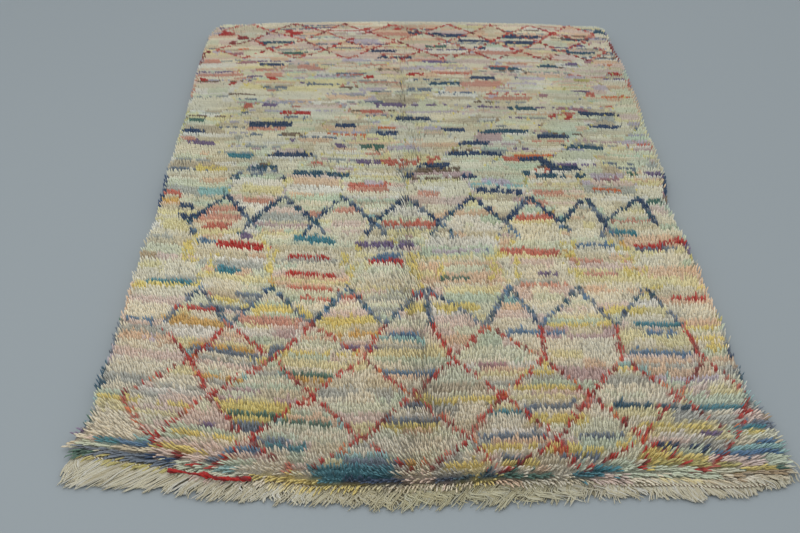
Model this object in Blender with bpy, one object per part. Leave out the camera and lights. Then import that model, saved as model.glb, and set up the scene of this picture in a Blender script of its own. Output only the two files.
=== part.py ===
"""A hand-knotted long-pile wool rug lying flat on the plane z = 0, in metres.

+X runs across the rug and +Y along it, from the fringed near end to the far end. The origin is on the
underside, in the middle. Four pieces: the pile on its ground weave, with locks of pile at its rim; the woven
heading with the warp fringe, at the near end; and the overcast cord along each side.
"""

import math
import random
from collections import namedtuple

import bmesh
import bpy
from mathutils import Vector, noise

# The pile on its ground weave
HALF_WIDTH = 0.808
NEAR_END = -1.200
FAR_END = 1.180
PILE_HEIGHT = 0.026
RIM_HEIGHT = 0.017
RIM_INSET = 0.018
COLUMNS = 33
ROWS = 48

# Unevenness: how tall each kind of lump or wave is, and how many of them there are in a metre
Unevenness = namedtuple("Unevenness", "height across along")
SWELL = Unevenness(0.003, 3.1, 2.7)
CLUMP = Unevenness(0.006, 13, 16)
TUSSOCK = Unevenness(0.0036, 31, 35)
SIDE_WAVE = Unevenness(0.003, 0, 9)
END_WAVE = Unevenness(0.003, 8, 0)

# How far each side stands out from the straight side, at stations along the rug
Side = namedtuple("Side", "along left right")
SIDES = (
    Side(-1.20, 0.026, 0.008),
    Side(-1.10, 0.025, 0.014),
    Side(-1.00, 0.017, 0.001),
    Side(-0.80, 0.008, -0.006),
    Side(-0.60, 0.003, -0.012),
    Side(-0.40, 0.003, -0.012),
    Side(-0.20, -0.003, -0.011),
    Side(0.00, 0.003, -0.005),
    Side(0.20, 0.000, -0.001),
    Side(0.40, -0.003, 0.004),
    Side(0.60, 0.004, 0.013),
    Side(0.80, 0.013, 0.010),
    Side(1.00, 0.013, 0.001),
    Side(1.18, -0.008, -0.008),
)

# How far the pile stands out past each straight end, and the fringe past the pile, at stations across
End = namedtuple("End", "across near far fringe")
ENDS = (
    End(-0.82, -0.085, -0.022, 0.092),
    End(-0.60, -0.052, -0.008, 0.084),
    End(-0.40, -0.010, 0.000, 0.085),
    End(-0.20, 0.018, 0.005, 0.077),
    End(0.00, 0.018, 0.007, 0.080),
    End(0.20, 0.013, 0.007, 0.074),
    End(0.40, 0.012, 0.004, 0.066),
    End(0.60, 0.010, -0.002, 0.056),
    End(0.82, -0.004, -0.016, 0.036),
)

# Locks of pile at the rim
LOCKS_EACH_SIDE = 54
LOCKS_EACH_END = 38
LOCK_SPACING_SHARE = 0.18
LOCK_WIDTH = 0.0130
LOCK_TAPER = (1.0, 0.75, 0.2)
LOCK_SECTION = ((0.5, 0), (0, 0.8), (-0.5, 0))
LOCK_LEAN = 0.5
LOCK_ROOT_Z = 0.0135
LOCK_CREST_Z = 0.0120
LOCK_DEPTH = 0.014
CREST_REACH = 0.010
SIDE_REACH = (0.018, 0.027)
SIDE_TIP_Z = 0.0050
END_REACH = (0.018, 0.026)
END_TIP_Z = 0.0070

# The overcast cords along the sides
CORD_RADIUS = 0.0045
PIECE_GAP = 0.0004

# The woven heading and its fringe
HEADING_WIDTH = 0.015
HEADING_THICKNESS = 0.005
STRANDS = 112
STRAND_WIDTH = 0.0072
STRAND_TIP_WIDTH = 0.0024
STRAND_SECTION = ((0.5, 0), (0, 0.7), (-0.5, 0))
STRAND_ROOT_LIFT = 0.0008
STRAND_ROOT_SCALE = 0.55
STRAND_LANDING = 0.0025
STRAND_POINTS = 4
LONGEST_REACH = 0.070
STRAND_SHARE = (0.82, 1.0)
FRINGE_SWAY = Unevenness(0.030, 2.3, 0)
FRINGE_BEND = Unevenness(0.008, 5.1, 0)

Finish = namedtuple("Finish", "colour roughness")
FINISHES = {
    "pile": Finish((0.62, 0.56, 0.42), 0.95),
    "fringe": Finish((0.66, 0.61, 0.47), 0.95),
    "cord": Finish((0.20, 0.27, 0.33), 0.9),
}


def between(table, where, column):
    """The value of a column at a place in the table's first column, eased from row to row."""
    low = table[0]
    for high in table[1:]:
        if where <= high[0]:
            break
        low = high
    share = min(1.0, max(0.0, (where - low[0]) / max(high[0] - low[0], 1e-9)))
    share = share * share * (3 - 2 * share)
    return getattr(low, column) * (1 - share) + getattr(high, column) * share


def wave(kind, x, y, seed):
    """A smooth height from about minus to plus the kind's own, the same for the same place and seed."""
    return kind.height * 1.6 * noise.noise(Vector((x * kind.across, y * kind.along, seed)))


def side_x(along, side):
    """The x of the pile's side wall: side is -1 for the left and 1 for the right."""
    out = between(SIDES, along, "left" if side < 0 else "right")
    return side * (HALF_WIDTH + out + wave(SIDE_WAVE, 0, along, 7.5 + side))


def near_y(across):
    """The y of the pile's near wall."""
    return NEAR_END - between(ENDS, across, "near") - wave(END_WAVE, across, 0, 2.5)


def far_y(across):
    """The y of the pile's far wall."""
    return FAR_END + between(ENDS, across, "far") + wave(END_WAVE, across, 0, 5.5)


def grid_share(index, count, length):
    """The share of the length at a grid's line, the second and the last but one RIM_INSET inside the rim."""
    if index in (0, count):
        return index / count
    edge = RIM_INSET / length
    return edge + (index - 1) / (count - 2) * (1 - 2 * edge)


def pile_point(column, row):
    """Where a grid corner of the pile lies, seen from above."""
    across = grid_share(column, COLUMNS, 2 * HALF_WIDTH)
    along = grid_share(row, ROWS, FAR_END - NEAR_END)
    x = HALF_WIDTH * (2 * across - 1)
    y = near_y(x) * (1 - along) + far_y(x) * along
    left, right = side_x(y, -1), side_x(y, 1)
    return left * (1 - across) + right * across, y


def end_y(x, row):
    """The y of the near wall, for row 0, or of the far wall, for the last row, on the runs of the grid."""
    corners = [pile_point(column, row) for column in range(COLUMNS + 1)]
    for (low_x, low_y), (high_x, high_y) in zip(corners, corners[1:]):
        if x <= high_x:
            break
    return low_y + (high_y - low_y) * (x - low_x) / (high_x - low_x)


def pile_height(x, y, rings_in):
    """The pile's height: a low rim, then lumps where the pile parts and crowds together."""
    if rings_in == 0:
        return RIM_HEIGHT
    height = PILE_HEIGHT + wave(SWELL, x, y, 4.0) + wave(CLUMP, x, y, 1.3) + wave(TUSSOCK, x, y, 8.1)
    return height if rings_in > 1 else (height + RIM_HEIGHT) / 2


def material(name):
    finish = FINISHES[name]
    made = bpy.data.materials.new(name)
    made.use_nodes = True
    shader = made.node_tree.nodes["Principled BSDF"]
    shader.inputs["Base Color"].default_value = (*finish.colour, 1)
    shader.inputs["Roughness"].default_value = finish.roughness
    shader.inputs["Metallic"].default_value = 0
    return made


def clear_scene():
    for thing in list(bpy.data.objects):
        bpy.data.objects.remove(thing)


def lumpy_slab(name):
    """The pile and its ground weave: a grid laid out to the rug's outline, with a wall and a flat underside."""
    bpy.ops.mesh.primitive_grid_add(x_subdivisions=COLUMNS, y_subdivisions=ROWS, size=2)
    slab = bpy.context.object
    slab.name = name
    mesh = bmesh.new()
    mesh.from_mesh(slab.data)
    for vertex in mesh.verts:
        column = round((vertex.co.x + 1) / 2 * COLUMNS)
        row = round((vertex.co.y + 1) / 2 * ROWS)
        rings_in = min(column, row, COLUMNS - column, ROWS - row)
        x, y = pile_point(column, row)
        vertex.co = (x, y, pile_height(x, y, rings_in))
    rim = [edge for edge in mesh.edges if edge.is_boundary]
    wall = bmesh.ops.extrude_edge_only(mesh, edges=rim)["geom"]
    foot = [item for item in wall if isinstance(item, bmesh.types.BMVert)]
    for vertex in foot:
        vertex.co.z = 0
    bmesh.ops.holes_fill(mesh, edges=[edge for edge in mesh.edges if edge.is_boundary])
    bmesh.ops.recalc_face_normals(mesh, faces=mesh.faces)
    mesh.to_mesh(slab.data)
    mesh.free()
    return slab


def section_curve(name, corners):
    """The outline of a strand's section: x is across the strand and y is up, for a width of one."""
    curve = bpy.data.curves.new(name, "CURVE")
    curve.dimensions = "2D"
    spline = curve.splines.new("POLY")
    spline.points.add(len(corners) - 1)
    spline.use_cyclic_u = True
    for point, (across, up) in zip(spline.points, corners):
        point.co = (across, up, 0, 1)
    return bpy.data.objects.new(name, curve)


def strand_curve(name, points, widths, corners):
    """Tapered strands as one curve object, from a list of points and a list of widths for each."""
    curve = bpy.data.curves.new(name, "CURVE")
    curve.dimensions = "3D"
    curve.twist_mode = "Z_UP"
    curve.bevel_mode = "OBJECT"
    curve.bevel_object = section_curve(name + "_section", corners)
    curve.use_fill_caps = True
    for path, scales in zip(points, widths):
        spline = curve.splines.new("POLY")
        spline.points.add(len(path) - 1)
        for point, place, scale in zip(spline.points, path, scales):
            point.co = (*place, 1)
            point.radius = scale
    made = bpy.data.objects.new(name, curve)
    bpy.context.scene.collection.objects.link(made)
    return made


def as_mesh(made):
    """A curve object made into a mesh object of the same name, its caps welded."""
    bpy.context.view_layer.update()
    graph = bpy.context.evaluated_depsgraph_get()
    mesh = bpy.data.meshes.new_from_object(made.evaluated_get(graph))
    work = bmesh.new()
    work.from_mesh(mesh)
    bmesh.ops.remove_doubles(work, verts=work.verts, dist=1e-6)
    bmesh.ops.recalc_face_normals(work, faces=work.faces)
    work.to_mesh(mesh)
    work.free()
    name = made.name
    turned = bpy.data.objects.new(name + "_mesh", mesh)
    turned.matrix_world = made.matrix_world
    bpy.context.scene.collection.objects.link(turned)
    bpy.data.objects.remove(made)
    turned.name = name
    return turned


def fuse(body, extra, cutters):
    """Joins extra to body with a Boolean union, and keeps extra as a hidden helper."""
    join = body.modifiers.new("roots", "BOOLEAN")
    join.operation = "UNION"
    join.object = extra
    for group in list(extra.users_collection):
        group.objects.unlink(extra)
    cutters.objects.link(extra)
    extra.hide_render = True
    extra.display_type = "WIRE"


def lock(root, outward, reach, tip_z, rng):
    """A lock of pile, from inside the rim, over the edge and down: its points and widths."""
    outward = Vector((*outward, 0))
    sideways = Vector((-outward.y, outward.x, 0))
    out = (outward + sideways * rng.uniform(-LOCK_LEAN, LOCK_LEAN)).normalized()
    edge = Vector((*root, 0))
    points = [
        edge - outward * LOCK_DEPTH + Vector((0, 0, LOCK_ROOT_Z)),
        edge + out * CREST_REACH + Vector((0, 0, LOCK_CREST_Z)),
        edge + out * rng.uniform(*reach) + Vector((0, 0, tip_z)),
    ]
    swell = rng.uniform(0.8, 1.0)
    return points, [LOCK_WIDTH * share * swell for share in LOCK_TAPER]


def rim_locks():
    """Every lock along the two sides and the two ends of the pile, a little unevenly spaced."""
    rng = random.Random(11)
    made = []
    for index in range(LOCKS_EACH_SIDE):
        share = (index + 0.5 + rng.uniform(-1, 1) * LOCK_SPACING_SHARE) / LOCKS_EACH_SIDE
        for side in (-1, 1):
            first, last = near_y(side * HALF_WIDTH) + RIM_INSET, far_y(side * HALF_WIDTH) - RIM_INSET
            y = first * (1 - share) + last * share
            made.append(lock((side_x(y, side), y), (side, 0), SIDE_REACH, SIDE_TIP_Z, rng))
    for index in range(LOCKS_EACH_END):
        share = (index + 0.5 + rng.uniform(-1, 1) * LOCK_SPACING_SHARE) / LOCKS_EACH_END
        x = (HALF_WIDTH - RIM_INSET) * (2 * share - 1)
        made.append(lock((x, end_y(x, 0)), (0, -1), END_REACH, END_TIP_Z, rng))
        made.append(lock((x, end_y(x, ROWS)), (0, 1), END_REACH, SIDE_TIP_Z, rng))
    return [points for points, widths in made], [widths for points, widths in made]


def make_pile(cutters):
    pile = lumpy_slab("pile")
    points, widths = rim_locks()
    fuse(pile, as_mesh(strand_curve("rim_locks", points, widths, LOCK_SECTION)), cutters)
    pile.data.materials.append(material("pile"))
    return pile


def make_side_cord(name, side, finish):
    """The overcast cord that lies against the pile's side wall, one point for each row of the pile."""
    column = 0 if side < 0 else COLUMNS
    curve = bpy.data.curves.new(name, "CURVE")
    curve.dimensions = "3D"
    curve.bevel_depth = CORD_RADIUS
    curve.bevel_resolution = 2
    curve.use_fill_caps = True
    spline = curve.splines.new("POLY")
    spline.points.add(ROWS)
    for row, point in enumerate(spline.points):
        x, y = pile_point(column, row)
        point.co = (x + side * (PIECE_GAP + CORD_RADIUS), y, CORD_RADIUS, 1)
    made = bpy.data.objects.new(name, curve)
    made.data.materials.append(finish)
    bpy.context.scene.collection.objects.link(made)
    return made


def make_heading():
    """The woven heading: a flat outline that follows the pile's near wall, extruded to its thickness."""
    curve = bpy.data.curves.new("heading", "CURVE")
    curve.dimensions = "2D"
    curve.fill_mode = "BOTH"
    curve.extrude = HEADING_THICKNESS / 2
    back = [pile_point(column, 0) for column in range(COLUMNS + 1)]
    outline = [(x, y - PIECE_GAP) for x, y in back]
    outline += [(x, y - PIECE_GAP - HEADING_WIDTH) for x, y in reversed(back)]
    spline = curve.splines.new("POLY")
    spline.points.add(len(outline) - 1)
    spline.use_cyclic_u = True
    for point, (x, y) in zip(spline.points, outline):
        point.co = (x, y, 0, 1)
    made = bpy.data.objects.new("heading", curve)
    made.location.z = HEADING_THICKNESS / 2
    bpy.context.scene.collection.objects.link(made)
    return as_mesh(made)


def fringe_strands():
    """The strands' paths: each leaves the heading, sways with its neighbours and tapers, level on the floor."""
    rng = random.Random(5)
    points, widths = [], []
    for index in range(STRANDS):
        share = (index + 0.5) / STRANDS
        x = (HALF_WIDTH - STRAND_WIDTH) * (2 * share - 1)
        root = Vector((x, end_y(x, 0) - PIECE_GAP - HEADING_WIDTH / 2, STRAND_ROOT_LIFT))
        reach = between(ENDS, x, "fringe") * rng.uniform(*STRAND_SHARE) - HEADING_WIDTH - STRAND_LANDING
        landing = root.y - HEADING_WIDTH / 2 - STRAND_LANDING
        sway = wave(FRINGE_SWAY, x, 0, 3.1) * reach / LONGEST_REACH
        bend = wave(FRINGE_BEND, x, 0, 9.4)
        path, scales = [root], [STRAND_WIDTH * STRAND_ROOT_SCALE]
        for step in range(STRAND_POINTS):
            along = step / (STRAND_POINTS - 1)
            offset = sway * along ** 1.6 + bend * math.sin(math.pi * along)
            path.append(Vector((x + offset, landing - reach * along, 0)))
            scales.append(STRAND_WIDTH * (1 - along) + STRAND_TIP_WIDTH * along)
        points.append(path)
        widths.append(scales)
    return points, widths


def make_fringe(cutters):
    fringe = make_heading()
    fringe.name = "fringe"
    points, widths = fringe_strands()
    fuse(fringe, as_mesh(strand_curve("strands", points, widths, STRAND_SECTION)), cutters)
    fringe.data.materials.append(material("fringe"))
    return fringe


def main():
    clear_scene()
    rug = bpy.data.collections.new("rug")
    cutters = bpy.data.collections.new("cutters")
    bpy.context.scene.collection.children.link(rug)
    bpy.context.scene.collection.children.link(cutters)
    cord_finish = material("cord")
    pieces = [
        make_pile(cutters),
        make_fringe(cutters),
        make_side_cord("side_cord_left", -1, cord_finish),
        make_side_cord("side_cord_right", 1, cord_finish),
    ]
    for piece in pieces:
        for group in list(piece.users_collection):
            group.objects.unlink(piece)
        rug.objects.link(piece)


main()
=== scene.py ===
"""The finish of a hand-knotted long-pile wool rug: its tufts, weave, fringe and side cords.

All sizes are in metres. +X runs across the rug, and +Y along it, away from the fringed end.
"""

import math
from collections import namedtuple

import bpy
import numpy as np
from mathutils import Matrix, Vector


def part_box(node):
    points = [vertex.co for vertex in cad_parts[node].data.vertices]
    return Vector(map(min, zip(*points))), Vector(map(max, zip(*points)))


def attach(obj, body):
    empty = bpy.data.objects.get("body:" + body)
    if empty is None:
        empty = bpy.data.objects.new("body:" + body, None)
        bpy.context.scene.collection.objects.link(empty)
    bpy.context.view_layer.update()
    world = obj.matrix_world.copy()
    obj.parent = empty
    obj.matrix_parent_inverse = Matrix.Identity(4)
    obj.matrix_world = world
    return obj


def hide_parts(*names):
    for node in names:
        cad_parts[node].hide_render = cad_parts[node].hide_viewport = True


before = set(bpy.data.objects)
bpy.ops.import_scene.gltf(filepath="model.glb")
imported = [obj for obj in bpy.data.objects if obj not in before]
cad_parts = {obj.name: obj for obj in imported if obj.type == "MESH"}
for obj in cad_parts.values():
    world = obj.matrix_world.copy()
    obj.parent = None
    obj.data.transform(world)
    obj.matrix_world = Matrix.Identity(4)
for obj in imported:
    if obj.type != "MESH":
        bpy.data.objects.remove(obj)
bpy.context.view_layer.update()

# The camera, where the photograph was taken from
CAMERA_PLACE = (-0.1157, -2.6376, 1.734)
CAMERA_PITCH = 38.017
CAMERA_YAW = 1.406
CAMERA_ROLL = 1.042
CAMERA_LENS = 43.65
SENSOR_WIDTH = 36

# The weave: tufts stand in columns across the rug and in knotted rows along it, which wander a little. The
# rows stand wider apart towards the near end, by this share, and close up where the near rim fans out
TUFT_PITCH = 0.0043
ROW_PITCH = 0.0135
ROW_SHARE = 0.24
FAN_SHARE = 0.60
FAN_DEPTH = 0.027
ROW_WAVE = 0.008
WEAVE_THICKNESS = 0.0035

# The tufts: how far they stray from their columns, how long they are and how high they start, and how thick
# they are at the two ends of the rug. At the parting they are thinner, by this share
TUFT_SPREAD = 0.0014
STRAND_LENGTH = 0.039
STRAND_ROOT = 0.003
PILE_PIECES = 6
RADIUS_NEAR = 0.0022
RADIUS_FAR = 0.0032
THINNER_AT_PARTING = 0.24

# The bends of an end: how far up each stretch of it reaches, how strongly it leans there, and how thick it is
Stretch = namedtuple("Stretch", "top bend thick")
END = (Stretch(0.45, 0.70, 0.90), Stretch(0.84, 1.00, 1.00), Stretch(1.0, 1.3, 0))

# The matted body of the pile below the loose tips: how far up the tufts it reaches, and the painted shade
# that darkens it at the two ends of the rug, for the shade deep among the tufts. Along the near rim, to this
# depth, and at the parting it is lower, and darker with more painted shade
BODY = (Stretch(0.45, 0.70, 0), Stretch(0.56, 1.00, 0))
BODY_PAINTED_SHADE_NEAR = 0.52
BODY_PAINTED_SHADE_FAR = 0.80
BODY_RIM_DEPTH = 0.035
BODY_LOWER_AT_RIM = 0.6
BODY_LOWER_AT_PARTING = 0.25
BODY_PAINTED_SHADE_AT_RIM = 0.25
BODY_PAINTED_SHADE_AT_PARTING = 0.45

# The part of an end that shows, as a share of its length, and how strongly the whole of it leans
SEEN_SHARE = 0.88
SEEN_BEND = 0.86

# Half the width of the lattice lines in each mix of yarns
LINE_HALF = {"reds": 0.0056, "slates": 0.0074, "navies": 0.0095, "faint": 0.0044, "pinks": 0.0078,
             "golds": 0.0080}
LINE_SLOPE = 0.32

# Colours of the yarns, as red, green and blue from 0 to 255, in full light
YARNS = {
    "cream": (226, 218, 192),
    "ivory": (228, 223, 208),
    "sand": (212, 201, 170),
    "sage": (216, 216, 188),
    "lemon": (224, 214, 166),
    "yellow": (224, 206, 124),
    "olive": (188, 180, 112),
    "gold": (214, 174, 100),
    "peach": (222, 194, 162),
    "pink": (220, 200, 184),
    "salmon": (206, 152, 130),
    "coral": (198, 112, 92),
    "orange": (212, 116, 66),
    "red": (184, 42, 36),
    "dark_red": (136, 40, 40),
    "mauve": (170, 126, 130),
    "rose": (196, 170, 164),
    "lilac": (198, 186, 192),
    "mist": (178, 174, 184),
    "purple": (116, 98, 132),
    "celadon": (200, 210, 184),
    "green": (70, 112, 98),
    "aqua": (152, 190, 184),
    "teal": (58, 130, 142),
    "petrol": (28, 82, 104),
    "blue": (88, 124, 154),
    "slate": (110, 124, 138),
    "navy": (24, 61, 98),
    "grey": (182, 182, 169),
    "ash": (158, 162, 156),
    "fawn": (196, 182, 154),
    "tan": (180, 158, 124),
    "brown": (124, 104, 84),
}
NAMES = list(YARNS)

# What the lattice lines are knotted in, as shares
MIXES = {
    "reds": {"red": 66, "dark_red": 16, "coral": 12, "orange": 6},
    "slates": {"slate": 50, "blue": 20, "navy": 14, "petrol": 16},
    "navies": {"navy": 62, "petrol": 20, "slate": 18},
    "faint": {"lemon": 34, "yellow": 16, "grey": 20, "olive": 14, "lilac": 8, "tan": 8},
    "pinks": {"coral": 28, "red": 42, "salmon": 10, "dark_red": 20},
    "golds": {"yellow": 60, "gold": 14, "lemon": 26},
}

# The short stripes between the lines: the shares of their yarns, up to each place along the rug
Zone = namedtuple("Zone", "top shares")
ZONES = (
    Zone(-1.10, {"cream": 24, "sage": 10, "celadon": 8, "yellow": 6, "olive": 4, "lemon": 8, "pink": 12,
                 "grey": 7, "aqua": 4, "slate": 4, "blue": 2, "sand": 7, "peach": 5}),
    Zone(-0.56, {"cream": 30, "sage": 11, "ivory": 4, "celadon": 6, "lemon": 8, "yellow": 4, "pink": 13,
                 "peach": 7, "grey": 7, "rose": 1, "aqua": 3, "slate": 2, "sand": 5, "fawn": 2}),
    Zone(-0.30, {"cream": 30, "sage": 11, "ivory": 7, "lemon": 9, "yellow": 4, "peach": 8, "pink": 11,
                 "celadon": 4, "grey": 6, "rose": 1, "sand": 7, "fawn": 2, "salmon": 2}),
    Zone(0.02, {"cream": 29, "sage": 14, "ivory": 10, "lemon": 8, "sand": 11, "pink": 8, "peach": 6,
                "celadon": 4, "grey": 5, "rose": 1, "fawn": 2, "aqua": 1, "salmon": 2}),
    Zone(0.45, {"cream": 29, "sage": 21, "ivory": 7, "sand": 13, "lemon": 10, "peach": 5, "pink": 4,
                "celadon": 4, "grey": 3, "rose": 1, "fawn": 2, "salmon": 1}),
    Zone(0.72, {"cream": 27, "sage": 14, "ivory": 5, "sand": 16, "lemon": 9, "peach": 9, "pink": 9,
                "celadon": 4, "lilac": 2, "fawn": 2, "salmon": 3}),
    Zone(9.00, {"cream": 26, "sage": 6, "ivory": 4, "sand": 16, "peach": 17, "pink": 16, "lemon": 6,
                "celadon": 2, "lilac": 2, "fawn": 2, "salmon": 5}),
)

# How many rows tall the tallest stripes are at the two ends, how wide a lattice cell is, over what width a
# stripe may change yarn, what share of stripes do, and how ragged the ends of stripes and bars are
STRIPE_ROWS_NEAR = 2.3
STRIPE_ROWS_FAR = 3.8
CELL = 0.2
CUT_SPREAD = 0.16
CUT_SHARE = 0.4
RAGGED = 0.012

# The dashes of single darker knots between pale ones, in the far half of the rug
DOTS_FROM = 0.02
DOTS_SHARE = 0.18
DOTS_KEPT = 0.75
DOTS = {"slate": 18, "ash": 20, "mist": 12, "fawn": 14, "purple": 10, "brown": 10, "rose": 12, "coral": 6}

# How many tufts take their yarn from the next row
BORROWED = 0.06

# How many tufts of the shaggy part are sunk between the others, everywhere and more at the parting, and how
# much shorter they are and how much painted shade darkens them, for the shade deep between the tufts
SUNK = 0.06
SUNK_AT_PARTING = 0.16
SUNK_SHORTER = 0.10
SUNK_PAINTED_SHADE = 0.50

# How light the yarns are drawn along the rug, which is painted light and shade that brightens or darkens the
# pile at each place, how far they have faded towards cream and how warm they look, along the rug
Tone = namedtuple("Tone", "along shade faded warm")
TONES_ALONG = (
    Tone(-1.10, 0.97, 0.06, 0.055),
    Tone(-0.60, 1.13, 0.05, 0.030),
    Tone(-0.10, 1.08, 0.02, -0.015),
    Tone(0.45, 0.95, 0.00, -0.028),
    Tone(1.10, 0.98, 0.00, 0.020),
)

# The lattice: at each place along the rug, where its lines meet, what the lines on from there are knotted
# in, what share of their knots is there, and how far sideways a line reaches
Level = namedtuple("Level", "along meets mix kept reach")
LEVELS = (
    Level(-1.28, (-0.64, -0.42, -0.16, 0.09, 0.26, 0.41, 0.60), "reds", 0.0, 0.16),
    Level(-1.20, (-0.53, -0.30, -0.03, 0.16, 0.34, 0.49, 0.64), "reds", 0.98, 0.161),
    Level(-1.09, (-0.66, -0.43, -0.16, 0.09, 0.30, 0.50, 0.73), "reds", 0.98, 0.16),
    Level(-0.95, (-0.75, -0.54, -0.29, -0.04, 0.18, 0.40, 0.62, 0.80), "reds", 0.98, 0.16),
    Level(-0.82, (-0.60, -0.39, -0.16, 0.07, 0.30, 0.50, 0.71), "reds", 0.98, 0.15),
    Level(-0.69, (-0.70, -0.52, -0.30, -0.11, 0.02, 0.16, 0.31, 0.51, 0.69), "slates", 0.98, 0.16),
    Level(-0.53, (-0.62, -0.42, -0.21, 0.00, 0.24, 0.43, 0.62), "golds", 0.45, 0.05),
    Level(-0.40, (-0.65, -0.44, -0.20, -0.03, 0.22, 0.43, 0.61), "golds", 0.45, 0.07),
    Level(-0.29, (-0.67, -0.54, -0.47, -0.35, -0.28, -0.17, -0.10, 0.03, 0.10, 0.23, 0.29, 0.41, 0.46,
                  0.54, 0.59), "slates", 0.75, 0.055),
    Level(-0.22, (-0.70, -0.51, -0.32, -0.14, 0.06, 0.26, 0.43, 0.56, 0.72), "navies", 0.95, 0.16),
    Level(-0.08, (-0.60, -0.42, -0.24, -0.04, 0.17, 0.35, 0.53, 0.70), "faint", 0.5, 0.03),
    Level(0.04, (-0.59, -0.43, -0.24, -0.03, 0.16, 0.35, 0.52, 0.70), "faint", 0.4, 0.16),
    Level(0.14, (-0.69, -0.51, -0.34, -0.14, 0.07, 0.26, 0.44, 0.61, 0.78), "faint", 0.4, 0.16),
    Level(0.25, (-0.60, -0.42, -0.24, -0.05, 0.16, 0.35, 0.53, 0.70), "faint", 0.4, 0.16),
    Level(0.36, (-0.69, -0.51, -0.33, -0.14, 0.06, 0.26, 0.44, 0.61, 0.78), "faint", 0.45, 0.16),
    Level(0.47, (-0.60, -0.42, -0.24, -0.05, 0.16, 0.35, 0.54, 0.70), "faint", 0.45, 0.16),
    Level(0.58, (-0.68, -0.51, -0.33, -0.15, 0.06, 0.25, 0.44, 0.62, 0.78), "faint", 0.4, 0.16),
    Level(0.69, (-0.60, -0.42, -0.24, -0.05, 0.15, 0.35, 0.54, 0.70), "faint", 0.35, 0.16),
    Level(0.79, (-0.68, -0.51, -0.33, -0.15, 0.06, 0.25, 0.44, 0.62, 0.78), "faint", 0.3, 0.16),
    Level(0.88, (-0.66, -0.45, -0.25, -0.05, 0.14, 0.32, 0.53, 0.70), "pinks", 0.90, 0.16),
    Level(0.96, (-0.77, -0.56, -0.34, -0.17, 0.04, 0.24, 0.43, 0.60, 0.78), "pinks", 0.95, 0.16),
    Level(1.05, (-0.63, -0.43, -0.25, -0.06, 0.15, 0.33, 0.52, 0.70), "pinks", 0.95, 0.16),
    Level(1.13, (-0.77, -0.57, -0.35, -0.17, 0.05, 0.25, 0.41, 0.59, 0.76), "pinks", 0.95, 0.16),
    Level(1.21, (-0.67, -0.48, -0.28, -0.07, 0.16, 0.33, 0.50, 0.66), "pinks", 0.0, 0.16),
)

# The share of knots left out of a bar of strong colour, and of a post
BAR_GAPS = 0.02
POST_GAPS = 0.42

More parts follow.
